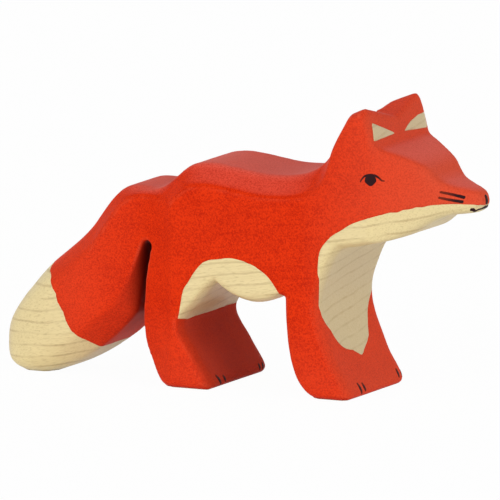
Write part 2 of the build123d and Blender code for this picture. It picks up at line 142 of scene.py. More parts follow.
# Where the brush strayed from a coat's edge: x, y, z, how far round it and how far out, in millimetres
STRAYED = {
    "throat_bib": (
        (27.2, -16.3, 35.6, 6.5, 1.7), (25.0, -16.0, 22.5, 4.0, -0.8),
        (26.0, -7.0, 13.0, 5.0, 2.0), (25.0, 13.5, 16.0, 8.0, -3.2)),
    "belly_patch": ((-5.1, -16.5, 30.6, 5.0, 1.0), (-11.8, -16.5, 19.5, 5.0, -0.8)),
}

# Upper and lower end of each toe stroke, as shares of its solid's width inwards and of its height
TOE_STROKES = {
    "toe_lines_front_left": (((0.81, 1.20), (0.78, 0.36)), ((0.05, 0.97), (0.16, 0.28))),
    "toe_lines_front_right": (((0.11, 1.15), (0.38, 0.07)), ((0.74, 1.02), (0.95, 0.18))),
    "toe_lines_hind_left": (((0.81, 0.75), (0.70, 0.14)), ((0.16, 0.75), (0.27, 0.14))),
    "toe_lines_hind_right": (((-0.20, 0.97), (0.38, 0.05)), ((0.78, 0.75), (1.05, 0.13))),
}


class FoxCarving(bpy.types.PropertyGroup):
    """Sizes of the sanded surface and of the layers on it."""

    face_size: FloatProperty(
        name="Face size", description="Edge length of the sanded surface's small faces",
        default=0.60 * MM, unit="LENGTH")
    sanding: IntProperty(
        name="Sanding", description="Rounds of smoothing that break the sawn edges", default=3)
    tail_sanding: IntProperty(
        name="Tail sanding", description="Further rounds that make the tail's end round", default=60)
    tail_fill: FloatProperty(
        name="Tail fill", description="How much those rounds would wear off the tail's end",
        default=0.75 * MM, unit="LENGTH")
    head_sanding: IntProperty(
        name="Head sanding", description="Further rounds that soften the brow and the snout", default=20)
    head_fill: FloatProperty(
        name="Head fill", description="How much those rounds would wear off the head",
        default=0.12 * MM, unit="LENGTH")
    foot_sanding: IntProperty(
        name="Foot sanding", description="Further rounds that soften the feet", default=14)
    foot_fill: FloatProperty(
        name="Foot fill", description="How much those rounds would wear off the feet",
        default=0.5 * MM, unit="LENGTH")
    knife_depth: FloatProperty(
        name="Knife depth", description="Depth of the shallow waves that carving leaves",
        default=0.08 * MM, unit="LENGTH")
    knife_length: FloatProperty(
        name="Knife length", description="Length of those waves", default=9.0 * MM, unit="LENGTH")
    coat_depth: FloatProperty(
        name="Coat depth", description="How deep the stain and the glaze soak in",
        default=0.4 * MM, unit="LENGTH")
    line_wander: FloatProperty(
        name="Line wander", description="How far the edge of the stain wanders from its line",
        default=0.12 * MM, unit="LENGTH")
    line_length: FloatProperty(
        name="Wander length", description="Distance over which the stain's edge wanders",
        default=2.4 * MM, unit="LENGTH")
    sole_height: FloatProperty(
        name="Sole height", description="Height above the ground where the bare sole ends",
        default=0.1 * MM, unit="LENGTH")
    paint_depth: FloatProperty(
        name="Paint depth", description="How far the black paint stands proud of the wood",
        default=0.07 * MM, unit="LENGTH")


class FoxFinish(bpy.types.PropertyGroup):
    """Colours of the wood, the stain and the paint."""

    stain: FloatVectorProperty(
        name="Stain", description="Red stain where it lies evenly", subtype="COLOR",
        default=(0.790, 0.038, 0.004))
    stain_deep: FloatVectorProperty(
        name="Deep stain", description="Red stain where the grain has drunk more of it", subtype="COLOR",
        default=(0.500, 0.014, 0.002))
    # Paler red for real wear on edges, head, tail and feet, and on faces that look forward, where it is
    # partly end grain and partly painted sheen
    stain_worn_and_sheen: FloatVectorProperty(
        name="Worn stain", description="Red stain rubbed thin on edges, head and legs", subtype="COLOR",
        default=(0.770, 0.105, 0.048))
    # Painted sheen: paler, duller red laid on the faces that look up
    stain_painted_sheen: FloatVectorProperty(
        name="Dusty stain", description="Red stain gone dull on the faces that look up", subtype="COLOR",
        default=(0.820, 0.128, 0.088))
    # Near-black red for sheltered places, partly pooled stain and partly painted shade; inside the hind
    # legs it is only painted shade
    stain_pooled_and_shade: FloatVectorProperty(
        name="Dark stain", description="Red stain that stayed thick in sheltered places", subtype="COLOR",
        default=(0.060, 0.003, 0.002))
    wood: FloatVectorProperty(
        name="Wood", description="Bare pale wood", subtype="COLOR", default=(0.820, 0.675, 0.345))
    wood_line: FloatVectorProperty(
        name="Growth line", description="Darker line at the end of a year's growth", subtype="COLOR",
        default=(0.480, 0.340, 0.150))
    # Darker pale wood on faces that look forward or back: partly end grain, partly painted shade
    wood_end_grain_and_shade: FloatVectorProperty(
        name="End grain", description="Bare wood cut across its fibres", subtype="COLOR",
        default=(0.620, 0.490, 0.290))
    paint: FloatVectorProperty(
        name="Paint", description="Black paint", subtype="COLOR", default=(0.032, 0.011, 0.013))
    paint_thin: FloatVectorProperty(
        name="Thin paint", description="Black paint where the brush ran dry", subtype="COLOR",
        default=(0.190, 0.026, 0.013))


class FoxStage(bpy.types.PropertyGroup):
    """Place of the camera and strength of the light."""

    azimuth: FloatProperty(
        name="Azimuth", description="Camera's turn round the figure", default=math.radians(26.0),
        subtype="ANGLE")
    elevation: FloatProperty(
        name="Elevation", description="Camera's height above the horizon", default=math.radians(9.2),
        subtype="ANGLE")
    distance: FloatProperty(
        name="Distance", description="From the camera to the point that it looks at", default=4.971,
        unit="LENGTH")
    lens: FloatProperty(name="Lens", description="Focal length in millimetres", default=1500.0)
    target: FloatVectorProperty(
        name="Target", description="Point that the camera looks at", subtype="TRANSLATION",
        default=(-0.69 * MM, 0.0, 31.9 * MM))
    key: FloatProperty(
        name="Key light", description="Strength of the large light on the near flank", default=1.5)
    fill: FloatProperty(name="Fill light", description="Strength of the light on the chest", default=0.87)
    sky: FloatProperty(name="Sky", description="Strength of the even light all round", default=0.46)


def settings():
    """The scene's carving, finish and stage settings."""
    scene = bpy.context.scene
    return scene.fox_carving, scene.fox_finish, scene.fox_stage


def mm(*lengths):
    """Lengths in millimetres as a list in metres."""
    return [length * MM for length in lengths]


def held(value, axis):
    """A coordinate kept inside the solid figure's box."""
    return max(CAD_BOX[0][axis], min(CAD_BOX[1][axis], value))


def merged_copy(names):
    """One mesh of several solid pieces, with their loose triangles joined."""
    bm = bmesh.new()
    for name in names:
        bm.from_mesh(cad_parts[name].data)
    bmesh.ops.remove_doubles(bm, verts=bm.verts, dist=SOLID_JOIN)
    return bm


def to_mesh(bm, name):
    """Turns a bmesh into a named mesh and frees it."""
    mesh = bpy.data.meshes.new(name)
    bm.to_mesh(mesh)
    bm.free()
    return mesh


def new_object(mesh, name):
    """Object at the origin for a mesh."""
    piece = bpy.data.objects.new(name, mesh)
    bpy.context.scene.collection.objects.link(piece)
    return piece


def even_faces(mesh, size):
    """The mesh's outer surface as small even faces."""
    rough = new_object(mesh, "rough_figure")
    remesh = rough.modifiers.new("Even faces", "REMESH")
    remesh.mode = "VOXEL"
    remesh.voxel_size = size
    evaluated = rough.evaluated_get(bpy.context.evaluated_depsgraph_get())
    even = bpy.data.meshes.new_from_object(evaluated)
    bpy.data.objects.remove(rough)
    bpy.data.meshes.remove(mesh)
    return even


def wave(point, length):
    """Smooth noise from about -1 to 1 over a length."""
    return noise.noise(point / length)


def sand(bm, verts):
    """One round of smoothing."""
    bmesh.ops.smooth_vert(
        bm, verts=verts, factor=0.5, use_axis_x=True, use_axis_y=True, use_axis_z=True)


def round_feet(bm, height, rounds, fill):
    """Sands the edges of the feet rounder, each round from a little lower, and makes up the loss."""
    for i in range(rounds):
        sand(bm, [vert for vert in bm.verts if vert.co.z < height * (1 - 0.7 * i / rounds)])
    bm.normal_update()
    for vert in bm.verts:
        outward = Vector((vert.normal.x, vert.normal.y, 0))
        vert.co += outward * fill * max(0.0, 1 - vert.co.z / height)


def round_end(bm, start, end, rounds, fill):
    """Sands one end of the figure rounder, each round from a little further out, and makes up the loss."""
    sign = 1 if end > start else -1
    for i in range(rounds):
        edge = start + (end - start) * i / rounds
        sand(bm, [vert for vert in bm.verts if sign * (vert.co.x - edge) > 0])
    bm.normal_update()
    for vert in bm.verts:
        share = min(1.0, max(0.0, (vert.co.x - start) / (end - start)))
        vert.co += vert.normal * fill * share
        vert.co.x = held(vert.co.x, 0)


def carve_waves(bm, depth, length):
    """Moves the surface in and out by the shallow waves that a knife and a sanding belt leave."""
    bm.normal_update()
    for vert in bm.verts:
        rise = wave(vert.co, length) + 0.35 * wave(vert.co, length / 3)
        vert.co += vert.normal * (depth * (rise + 0.5))
        vert.co.x = held(vert.co.x, 0)
        vert.co.y = held(vert.co.y, 1)


def level_soles(bm):
    """Sets the feet flat on the ground after the sanding."""
    bm.normal_update()
    for vert in bm.verts:
        if vert.co.z < 0 or (vert.co.z < SOLE_BAND and vert.normal.z < SOLE_SLOPE):
            vert.co.z = 0


def mark_wear(bm):
    """Writes which way each point faces, which the finishes use for end grain, painted sheen and painted
    shade, and how far it stands proud, which is where stain rubs thin.
    """
    wear = bm.verts.layers.float.new(WEAR)
    facing = bm.verts.layers.float_vector.new(FACING)
    bm.normal_update()
    for vert in bm.verts:
        ring = [edge.other_vert(vert).co for edge in vert.link_edges]
        middle = sum(ring, Vector()) / len(ring)
        vert[wear] = (vert.co - middle).dot(vert.normal) / MM
        vert[facing] = vert.normal
    spread(bm, facing, FACING_ROUNDS)


def mark_occlusion(bm):
    """Writes how much of each point's view other wood takes up; the red stain is darkened there, partly for
    stain that pools in the saw cuts, partly as painted shade.
    """
    occlusion = bm.verts.layers.float.new(OCCLUSION)
    surface = BVHTree.FromBMesh(bm)
    turn = math.pi * (3 - math.sqrt(5))
    views = []
    for i in range(SHELTER_RAYS):
        height = 1 - (2 * i + 1) / SHELTER_RAYS
        flat = math.sqrt(1 - height * height)
        views.append(Vector((flat * math.cos(turn * i), flat * math.sin(turn * i), height)))
    for vert in bm.verts:
        start = vert.co + vert.normal * SHELTER_LIFT
        ahead = [view for view in views if view.dot(vert.normal) > SHELTER_SLOPE]
        taken = sum(surface.ray_cast(start, view, SHELTER_REACH)[0] is not None for view in ahead)
        vert[occlusion] = taken / len(ahead)
    spread(bm, occlusion, SHELTER_ROUNDS)


def spread(bm, layer, rounds):
    """Evens out a value that the surface carries with that of the points beside."""
    rings = [(vert, [edge.other_vert(vert) for edge in vert.link_edges]) for vert in bm.verts]
    for _ in range(rounds):
        for vert, ring in rings:
            nearby = sum((near[layer] for near in ring), vert[layer] * 0)
            vert[layer] = (vert[layer] + nearby / len(ring)) * 0.5


def ear_value(point, name):
    """Distance of a point from the edge of the bare wood in one ear, above zero inside it."""
    low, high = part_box(name)
    sign = SIDES[name.split("_")[-1]]
    inner, outer = sorted((abs(low[1]), abs(high[1])))
    corners = [
        (inner + (outer - inner) * across, low[2] + (high[2] - low[2]) * up)
        for across, up in EAR_CORNERS[name]]
    edges = []
    for (y0, z0), (y1, z1) in zip(corners, corners[1:] + corners[:1]):
        length = math.hypot(y1 - y0, z1 - z0)
        edges.append(((y1 - y0) * (point.z - z0) - (z1 - z0) * (sign * point.y - y0)) / length)
    return min(edges)


def zone_values(bm, trees, name, carving):
    """Distance of each point from the edge of one clear coat, above zero inside it."""
    margin = 3 * MM
    low, high = (Vector(corner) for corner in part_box(name))
    values = {}
    for vert in bm.verts:
        point = vert.co
        wander = carving.line_wander * wave(point, carving.line_length)
        if any(point[i] < low[i] - margin or point[i] > high[i] + margin for i in range(3)):
            values[vert] = -margin
        elif name in EAR_CORNERS:
            in_front = vert.normal.x > EAR_SLOPE
            values[vert] = ear_value(point, name) + EAR_WANDER * wander if in_front else -margin
        else:
            to_red = trees["red_coat"].find_nearest(point)[3]
            to_coat = trees[name].find_nearest(point)[3]
            values[vert] = to_red - to_coat + wander + strayed(point, name)
    return values


def strayed(point, name):
    """How far the brush strayed out from a coat's edge near a point."""
    far = 0.0
    for x, y, z, reach, out in STRAYED.get(name, ()):
        distance = (point - Vector((x, y, z)) * MM).length
        far += out * MM * max(0.0, 1 - distance / (reach * MM))
    return far


def cut_zone(bm, values):
    """Cuts the surface along the line where the values cross zero."""
    line = []
    for edge in list(bm.edges):
        first, second = edge.verts
        start, end = values[first], values[second]
        if (start > 0) == (end > 0):
            continue
        share = min(1 - CUT_MARGIN, max(CUT_MARGIN, start / (start - end)))
        crossing = bmesh.utils.edge_split(edge, first, share)[1]
        values[crossing] = 0.0
        line.append(crossing)
    bmesh.ops.connect_verts(bm, verts=line)


def paint_zones(bm, carving):
    """Divides the sanded surface into the red coat, the clear coats and the bare soles."""
    trees = {}
    for name in COATS:
        solid = merged_copy([name])
        trees[name] = BVHTree.FromBMesh(solid)
        solid.free()
    zone = bm.faces.layers.int.new(ZONE)
    for name in CLEAR_COATS:
        values = zone_values(bm, trees, name, carving)
        cut_zone(bm, values)
        for face in bm.faces:
            if sum(values[vert] for vert in face.verts) > 0:
                face[zone] = COATS.index(name)
    bmesh.ops.bisect_plane(
        bm, geom=bm.verts[:] + bm.edges[:] + bm.faces[:], dist=SOLID_JOIN,
        plane_co=(0, 0, carving.sole_height), plane_no=(0, 0, 1))
    for face in bm.faces:
        if face.calc_center_median().z < carving.sole_height:
            face[zone] = SOLES


def sanded_figure():
    """The whole sanded figure as a mesh with its zones, made once."""
    if SANDED in bpy.data.meshes:
        return bpy.data.meshes[SANDED]
    carving = settings()[0]
    rough = to_mesh(merged_copy(("wood_core",) + COATS), "rough_figure")
    even = even_faces(rough, carving.face_size)
    bm = bmesh.new()
    bm.from_mesh(even)
    bpy.data.meshes.remove(even)
    for _ in range(carving.sanding):
        sand(bm, bm.verts)
    tail_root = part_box("tail_tip")[1][0]
    ear_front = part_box("ear_inside_left")[1][0]
    round_end(bm, tail_root, tail_root - TAIL_REACH, carving.tail_sanding, carving.tail_fill)
    round_end(bm, ear_front, ear_front + HEAD_REACH, carving.head_sanding, carving.head_fill)
    round_feet(bm, FOOT_REACH, carving.foot_sanding, carving.foot_fill)
    carve_waves(bm, carving.knife_depth, carving.knife_length)
    level_soles(bm)
    mark_wear(bm)
    mark_occlusion(bm)
    paint_zones(bm, carving)
    bm.normal_update()
    return to_mesh(bm, SANDED)


def coat_piece(node):
    """One coat as a thin closed layer: its zone of the sanded surface, thickened into the wood."""
    carving = settings()[0]
    bm = bmesh.new()
    bm.from_mesh(sanded_figure())
    zone = bm.faces.layers.int[ZONE]
    others = [face for face in bm.faces if face[zone] != COATS.index(node)]
    bmesh.ops.delete(bm, geom=others, context="FACES")
    for face in bm.faces:
        face.smooth = True
    piece = new_object(to_mesh(bm, node), node)
    thicken(piece, carving.coat_depth)
    return piece


def thicken(piece, depth):
    """Makes a sheet a closed layer that reaches into the wood."""
    layer = piece.modifiers.new("Layer", "SOLIDIFY")
    layer.thickness = depth
    layer.offset = -1.0


def core_piece():
    """The wood under the coats: the sanded figure less their depth, with its soles on the ground."""
    carving = settings()[0]
    bm = bmesh.new()
    bm.from_mesh(sanded_figure())
    bm.normal_update()
    for vert in bm.verts:
        inward = vert.normal * -carving.coat_depth
        if vert.co.z < carving.sole_height + 0.01 * MM:
            inward.z = 0
        vert.co += inward
    for face in bm.faces:
        face.smooth = True
    return new_object(to_mesh(bm, "wood_core"), "wood_core")


def finish_piece(piece, node, material):
    """Gives a piece its finish and its place in the frame, in place of a solid piece."""
    piece.data.materials.clear()
    piece.data.materials.append(material)
    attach(piece, BODY)
    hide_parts(node)


def smooth_path(spots, share):
    """Point at a share of the way along a smooth line through the spots."""
    last = len(spots) - 1
    place = share * last
    first = min(int(place), last - 1)
    t = place - first
    before, start, end, after = (spots[min(max(first + step, 0), last)] for step in (-1, 0, 1, 2))
    return 0.5 * (
        2 * start + (end - before) * t
        + (2 * before - 5 * start + 4 * end - after) * t ** 2
        + (3 * start - before - 3 * end + after) * t ** 3)


def blend(values, share):
    """Value at a share of the way through a list of even steps."""
    place = share * (len(values) - 1)
    first = min(int(place), len(values) - 2)
    return values[first] + (values[first + 1] - values[first]) * (place - first)


def figure_surface():
    """Search tree of the sanded surface, to lay paint on."""
    mesh = sanded_figure()
    return BVHTree.FromPolygons(
        [vert.co for vert in mesh.vertices], [face.vertices for face in mesh.polygons])


def press(surface, spot, push):
    """Where a brush that pushes through a spot meets the wood, and the surface's direction there."""
    point, normal, _, _ = surface.ray_cast(spot - push * BRUSH_REACH, push, 2 * BRUSH_REACH)
    if point is None:
        point, normal, _, _ = surface.find_nearest(spot)
    return point, normal


def brush_stroke(bm, surface, spots, widths, loads, push):
    """Lays one closed stroke of paint along the spots, with rounded ends and a domed top."""
    carving = settings()[0]
    load = bm.verts.layers.float[LOAD]
    spots = [Vector(spot) for spot in spots]
    push = Vector(push).normalized()
    length = sum((b - a).length for a, b in zip(spots, spots[1:]))
    grid = bmesh.ops.create_grid(bm, x_segments=STROKE_STEPS, y_segments=STROKE_ROWS, size=1.0)["verts"]
    for vert in grid:
        share = 0.5 + 0.5 * math.sin(0.5 * math.pi * vert.co.x)
        across = vert.co.y
        centre = smooth_path(spots, share)
        ahead = smooth_path(spots, min(1, share + 0.02)) - smooth_path(spots, max(0, share - 0.02))
        side = push.cross(ahead).normalized()
        half = 0.5 * blend(widths, share)
        nearness = min(1.0, min(share, 1 - share) * length / max(half, 0.05 * MM))
        rounding = math.sqrt(max(0.0, 1 - (1 - nearness) ** 2))
        rough = 1 + BRUSH_RAGGED * wave(centre + side * across * MM, BRUSH_HAIRS)
        point, normal = press(surface, centre + side * (across * half * rounding * rough), push)
        dome = math.sqrt(max(0.0, 1 - across * across)) * rounding
        vert.co = point + normal * carving.paint_depth * (0.35 + 0.65 * dome)
        vert[load] = blend(loads, share) * (0.55 + 0.45 * dome)
    bmesh.ops.remove_doubles(bm, verts=grid, dist=STROKE_JOIN)
    faces = list({face for vert in grid if vert.is_valid for face in vert.link_faces})
    bmesh.ops.recalc_face_normals(bm, faces=faces)
    if sum((face.normal * face.calc_area() for face in faces), Vector()).dot(push) > 0:
        bmesh.ops.reverse_faces(bm, faces=faces)
    for face in faces:
        face.smooth = True


def paint_piece(node, strokes):
    """One painted mark of several brush strokes, in place of its solid."""
    surface = figure_surface()
    bm = bmesh.new()
    bm.verts.layers.float.new(LOAD)
    for stroke in strokes:
        brush_stroke(bm, surface, *stroke)
    piece = new_object(to_mesh(bm, node), node)
    thicken(piece, 2 * settings()[0].paint_depth)
    finish_piece(piece, node, black_paint())


def box_point(node, share):
    """Point in a solid's box, by its shares of the box's length, width and height."""
    low, high = (Vector(corner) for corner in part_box(node))
    return Vector(low[i] + (high[i] - low[i]) * share[i] for i in range(3))


def add_node(tree, kind, inputs=(), **values):
    """Adds a shader node, sets its values, and links or fills its inputs by name or number."""
    made = tree.nodes.new(kind)
    for name, value in values.items():
        setattr(made, name, value)
    for key, value in dict(inputs).items():
        if isinstance(value, bpy.types.NodeSocket):
            tree.links.new(value, made.inputs[key])
        else:
            made.inputs[key].default_value = value
    return made


def new_material(name):
    """Empty material with a shader, and the tree, shader and figure's own coordinates in it."""
    material = bpy.data.materials.new(name)
    material.use_nodes = True
    tree = material.node_tree
    shader = tree.nodes["Principled BSDF"]
    place = add_node(tree, "ShaderNodeTexCoord").outputs["Object"]
    return material, tree, shader, place


def stretched(tree, place, along, across):
    """Coordinates for grain that runs along the figure, in units of one cell."""
    return add_node(tree, "ShaderNodeMapping", {
        "Vector": place, "Rotation": GRAIN_TURN, "Scale": (along, across, across)},
        vector_type="TEXTURE").outputs["Vector"]


def cloud(tree, place, size, detail=2.0, roughness=0.5):
    """Noise with cells of one size."""
    return add_node(tree, "ShaderNodeTexNoise", {
        "Vector": place, "Scale": 1 / size, "Detail": detail, "Roughness": roughness}).outputs["Fac"]


def attribute(tree, name, output):
    """Value that the sanded surface carries at each point."""
    return add_node(tree, "ShaderNodeAttribute", attribute_name=name).outputs[output]


def split(tree, vector):
    """The X, Y and Z of a place or a direction."""
    return add_node(tree, "ShaderNodeSeparateXYZ", {"Vector": vector}).outputs


def remap(tree, value, low, high, to_low=0.0, to_high=1.0):
    """Value stretched from one range to another, and kept in it."""
    return add_node(tree, "ShaderNodeMapRange", {
        "Value": value, "From Min": low, "From Max": high,
        "To Min": to_low, "To Max": to_high}).outputs["Result"]


def math_node(tree, operation, first, *others):
    """Sum, product, difference or largest of several values, one after the other."""
    for other in others:
        first = add_node(tree, "ShaderNodeMath", {0: first, 1: other}, operation=operation).outputs["Value"]
    return first


def weighted(tree, *parts):
    """Sum of several values, each times its weight."""
    return math_node(tree, "ADD", *(math_node(tree, "MULTIPLY", value, weight) for value, weight in parts))


def mixed(tree, share, first, second):
    """Mix of two colours."""
    return add_node(tree, "ShaderNodeMix", {
        "Factor": share, 6: first, 7: second}, data_type="RGBA").outputs[2]


def opaque(colour):
    """Colour with full alpha, for a shader socket."""
    return (*colour, 1.0)


def set_bump(tree, shader, height, depth, strength):
    """Raises the surface by a height pattern."""
    bump = add_node(tree, "ShaderNodeBump", {"Height": height, "Distance": depth, "Strength": strength})
    tree.links.new(bump.outputs["Normal"], shader.inputs["Normal"])


def red_stain():
    """Red stain in close grain: finely speckled and thin on the edges, with painted sheen on faces that
    look up and forward, and darker in sheltered places from pooled stain and painted shade.
    """
    finish = settings()[1]
    material, tree, shader, place = new_material("stained_red")
    clouds = cloud(tree, place, 8 * MM, 3.0, 0.55)
    streaks = cloud(tree, stretched(tree, place, 6 * MM, 0.6 * MM), 1.0, 2.0, 0.5)
    speckle = cloud(tree, place, 0.38 * MM, 3.0, 0.65)
    spot = split(tree, place)
    facing = split(tree, attribute(tree, FACING, "Vector"))

    # Grain that drinks the stain unevenly
    even = remap(tree, weighted(tree, (clouds, 0.2), (streaks, 0.15), (speckle, 0.65)), 0.34, 0.57)
    colour = mixed(tree, even, opaque(finish.stain_deep), opaque(finish.stain))

    # Stain rubbed thin towards the nose, the tail and the feet and on edges; paler on faces that look
    # forward, partly end grain and partly painted sheen
    worn_head = remap(tree, spot["X"], 20 * MM, 54 * MM, 0.0, 0.6)
    worn_tail = remap(tree, spot["X"], -22 * MM, -42 * MM, 0.0, 0.22)
    worn_feet = remap(tree, spot["Z"], 20 * MM, 4 * MM, 0.0, 0.18)
    end_grain_and_sheen = remap(tree, facing["X"], 0.4, 0.9, 0.0, 0.3)
    edge = math_node(tree, "ADD", attribute(tree, WEAR, "Fac"), math_node(tree, "MULTIPLY", speckle, 0.03))
    worn_and_sheen = math_node(tree, "MAXIMUM", worn_tail, worn_feet, worn_head)
    worn_and_sheen = math_node(tree, "ADD", worn_and_sheen, end_grain_and_sheen)
    worn_and_sheen = math_node(tree, "MAXIMUM", worn_and_sheen, remap(tree, edge, 0.04, 0.11, 0.0, 0.8))
    colour = mixed(tree, worn_and_sheen, colour, opaque(finish.stain_worn_and_sheen))

    # Painted sheen: paler, duller red on faces that look up, less of it between the ears and on the tail
    painted_sheen = math_node(
        tree, "MULTIPLY", remap(tree, facing["Z"], 0.62, 0.90), remap(tree, speckle, 0.35, 0.65, 0.6, 1.0),
        remap(tree, spot["Z"], 63 * MM, 60.5 * MM, 0.15, 1.0),
        remap(tree, spot["X"], -35 * MM, -20 * MM, 0.5, 1.0))
    colour = mixed(tree, painted_sheen, colour, opaque(finish.stain_painted_sheen))

    # Darker red in sheltered places, partly stain that pools there and partly painted shade, and painted
    # shade on the inside of the hind legs
    occlusion = remap(tree, attribute(tree, OCCLUSION, "Fac"), 0.30, 0.80, 0.0, 0.85)
    painted_leg_shade = math_node(
        tree, "MULTIPLY", remap(tree, facing["X"], 0.3, 0.7), remap(tree, spot["X"], 6 * MM, 2 * MM),
        remap(tree, spot["X"], -26 * MM, -22 * MM), remap(tree, spot["Z"], 24 * MM, 18 * MM, 0.0, 0.26))
    darkened = math_node(tree, "MAXIMUM", occlusion, painted_leg_shade)
    colour = mixed(tree, darkened, colour, opaque(finish.stain_pooled_and_shade))

    # Dark pores all over
    colour = mixed(tree, remap(tree, speckle, 0.52, 0.34, 0.0, 0.3), colour, opaque(finish.stain_deep))
    tree.links.new(colour, shader.inputs["Base Color"])
    tree.links.new(remap(tree, speckle, 0.3, 0.7, 0.45, 0.6), shader.inputs["Roughness"])
    shader.inputs["Specular IOR Level"].default_value = 0.03
    shader.inputs["Sheen Weight"].default_value = 0.02
    shader.inputs["Sheen Roughness"].default_value = 0.3
    shader.inputs["Sheen Tint"].default_value = (1.0, 0.85, 0.80, 1.0)
    set_bump(tree, shader, weighted(tree, (streaks, 0.3), (speckle, 0.7)), 0.08 * MM, 0.5)
    return material


def pale_wood(name, roughness, coat):
    """Bare wood: thin broken growth lines along the figure, long fibres and fine pores."""
    finish = settings()[1]
    material, tree, shader, place = new_material(name)
    lines = add_node(tree, "ShaderNodeTexWave", {
        "Vector": stretched(tree, place, MM, MM), "Scale": 0.11, "Distortion": 2.5,
        "Detail": 2.0, "Detail Scale": 0.6}, bands_direction="Z", wave_profile="SIN").outputs["Fac"]
    fibres = cloud(tree, stretched(tree, place, 12 * MM, 0.5 * MM), 1.0, 3.0, 0.6)
    pores = cloud(tree, stretched(tree, place, 1.6 * MM, 0.25 * MM), 1.0, 1.0, 0.5)
    clouds = cloud(tree, stretched(tree, place, 10 * MM, 5 * MM), 1.0, 2.0)
    broken = math_node(
        tree, "MULTIPLY", remap(tree, lines, 0.86, 1.0), remap(tree, clouds, 0.35, 0.65, 0.1, 0.55))
    dark = math_node(
        tree, "ADD", broken, remap(tree, fibres, 0.38, 0.75, 0.0, 0.16),
        remap(tree, pores, 0.52, 0.72, 0.0, 0.32))
    facing = split(tree, attribute(tree, FACING, "Vector"))
    # Darker wood on faces that look forward or back: partly end grain, partly painted shade
    end = remap(tree, math_node(tree, "MULTIPLY", facing["X"], facing["X"]), 0.25, 0.9, 0.0, 0.75)
    colour = mixed(tree, end, opaque(finish.wood), opaque(finish.wood_end_grain_and_shade))
    colour = mixed(tree, dark, colour, opaque(finish.wood_line))
    tree.links.new(colour, shader.inputs["Base Color"])
    uneven = remap(tree, fibres, 0.3, 0.7, roughness - 0.06, roughness + 0.06)
    tree.links.new(uneven, shader.inputs["Roughness"])
    shader.inputs["Specular IOR Level"].default_value = 0.4
    shader.inputs["Coat Weight"].default_value = coat
    shader.inputs["Coat Roughness"].default_value = 0.35
    set_bump(tree, shader, math_node(tree, "SUBTRACT", fibres, pores), 0.08 * MM, 0.5)
    return material


def black_paint():
    """Black brushed paint, brown and rough where the brush ran dry."""
    if "brushed_black" in bpy.data.materials:
        return bpy.data.materials["brushed_black"]
    finish = settings()[1]
    material, tree, shader, place = new_material("brushed_black")
    load = attribute(tree, LOAD, "Fac")
    speckle = cloud(tree, place, 0.25 * MM, 2.0)
    body = remap(tree, math_node(tree, "ADD", load, math_node(tree, "MULTIPLY", speckle, 0.3)), 0.35, 0.85)
    colour = mixed(tree, body, opaque(finish.paint_thin), opaque(finish.paint))
    tree.links.new(colour, shader.inputs["Base Color"])
    tree.links.new(remap(tree, body, 0.0, 1.0, 0.62, 0.42), shader.inputs["Roughness"])
    shader.inputs["Specular IOR Level"].default_value = 0.04
    set_bump(tree, shader, speckle, 0.03 * MM, 0.4)
    return material


class FOX_OT_wood_core(bpy.types.Operator):
    """Makes the wood under the coats, with the bare soles"""

    bl_idname = "fox.wood_core"
    bl_label = "Wood core"

    def execute(self, context):
        finish_piece(core_piece(), "wood_core", pale_wood("bare_wood", 0.62, 0.0))
        return {"FINISHED"}


class FOX_OT_red_coat(bpy.types.Operator):
    """Stains the head, back, flanks, legs and the root of the tail red"""

    bl_idname = "fox.red_coat"
    bl_label = "Red coat"

    def execute(self, context):
        finish_piece(coat_piece("red_coat"), "red_coat", red_stain())
        return {"FINISHED"}


class FOX_OT_clear_coats(bpy.types.Operator):
    """Glazes the bare throat, belly, tail tip and ears"""

    bl_idname = "fox.clear_coats"
    bl_label = "Clear coats"

    def execute(self, context):
        glazed = pale_wood("glazed_wood", 0.5, 0.15)
        for node in CLEAR_COATS:
            finish_piece(coat_piece(node), node, glazed)
        return {"FINISHED"}


class FOX_OT_eyes(bpy.types.Operator):
    """Paints a lid line and a drop-shaped eye on each cheek"""

    bl_idname = "fox.eyes"
    bl_label = "Eyes"

    def execute(self, context):
        for side, sign in SIDES.items():
            node = "eye_" + side
            push = (0, -sign, 0)
            lid = [box_point(node, (x, 0.5, z)) for x, z in (
                (0.02, 0.36), (0.08, 0.58), (0.19, 0.82), (0.30, 0.93), (0.44, 0.96),
                (0.59, 0.93), (0.69, 0.84), (0.81, 0.66), (0.89, 0.50), (1.0, 0.47))]
            drop = [box_point(node, (x, 0.5, z)) for x, z in ((0.437, 0.97), (0.457, 0.38), (0.46, 0.08))]
            paint_piece(node, [
                (lid, mm(0.3, 0.45, 0.6, 0.55, 0.4, 0.3), [0.2, 0.6, 1.0, 1.0, 0.5, 0.15], push),
                (drop, mm(2.4, 2.7, 2.1, 1.2, 0.5), [1.3, 1.3], push)])
        return {"FINISHED"}


class FOX_OT_whiskers(bpy.types.Operator):
    """Paints two whisker strokes on each side of the snout"""

    bl_idname = "fox.whiskers"
    bl_label = "Whiskers"

    def execute(self, context):
        for side, sign in SIDES.items():
            node = "whiskers_" + side
            push = (0, -sign, 0)
            upper = [box_point(node, (x, 0.5, z)) for x, z in ((0.1, 1.0), (0.55, 0.79), (1.06, 0.49))]
            lower = [box_point(node, (x, 0.5, z)) for x, z in ((0.05, 0.54), (0.5, 0.33), (1.0, 0.14))]
            widths = mm(0.5, 0.65, 0.75)
            loads = [0.1, 0.5, 1.2]
            paint_piece(node, [(upper, widths, loads, push), (lower, widths, loads, push)])
        return {"FINISHED"}


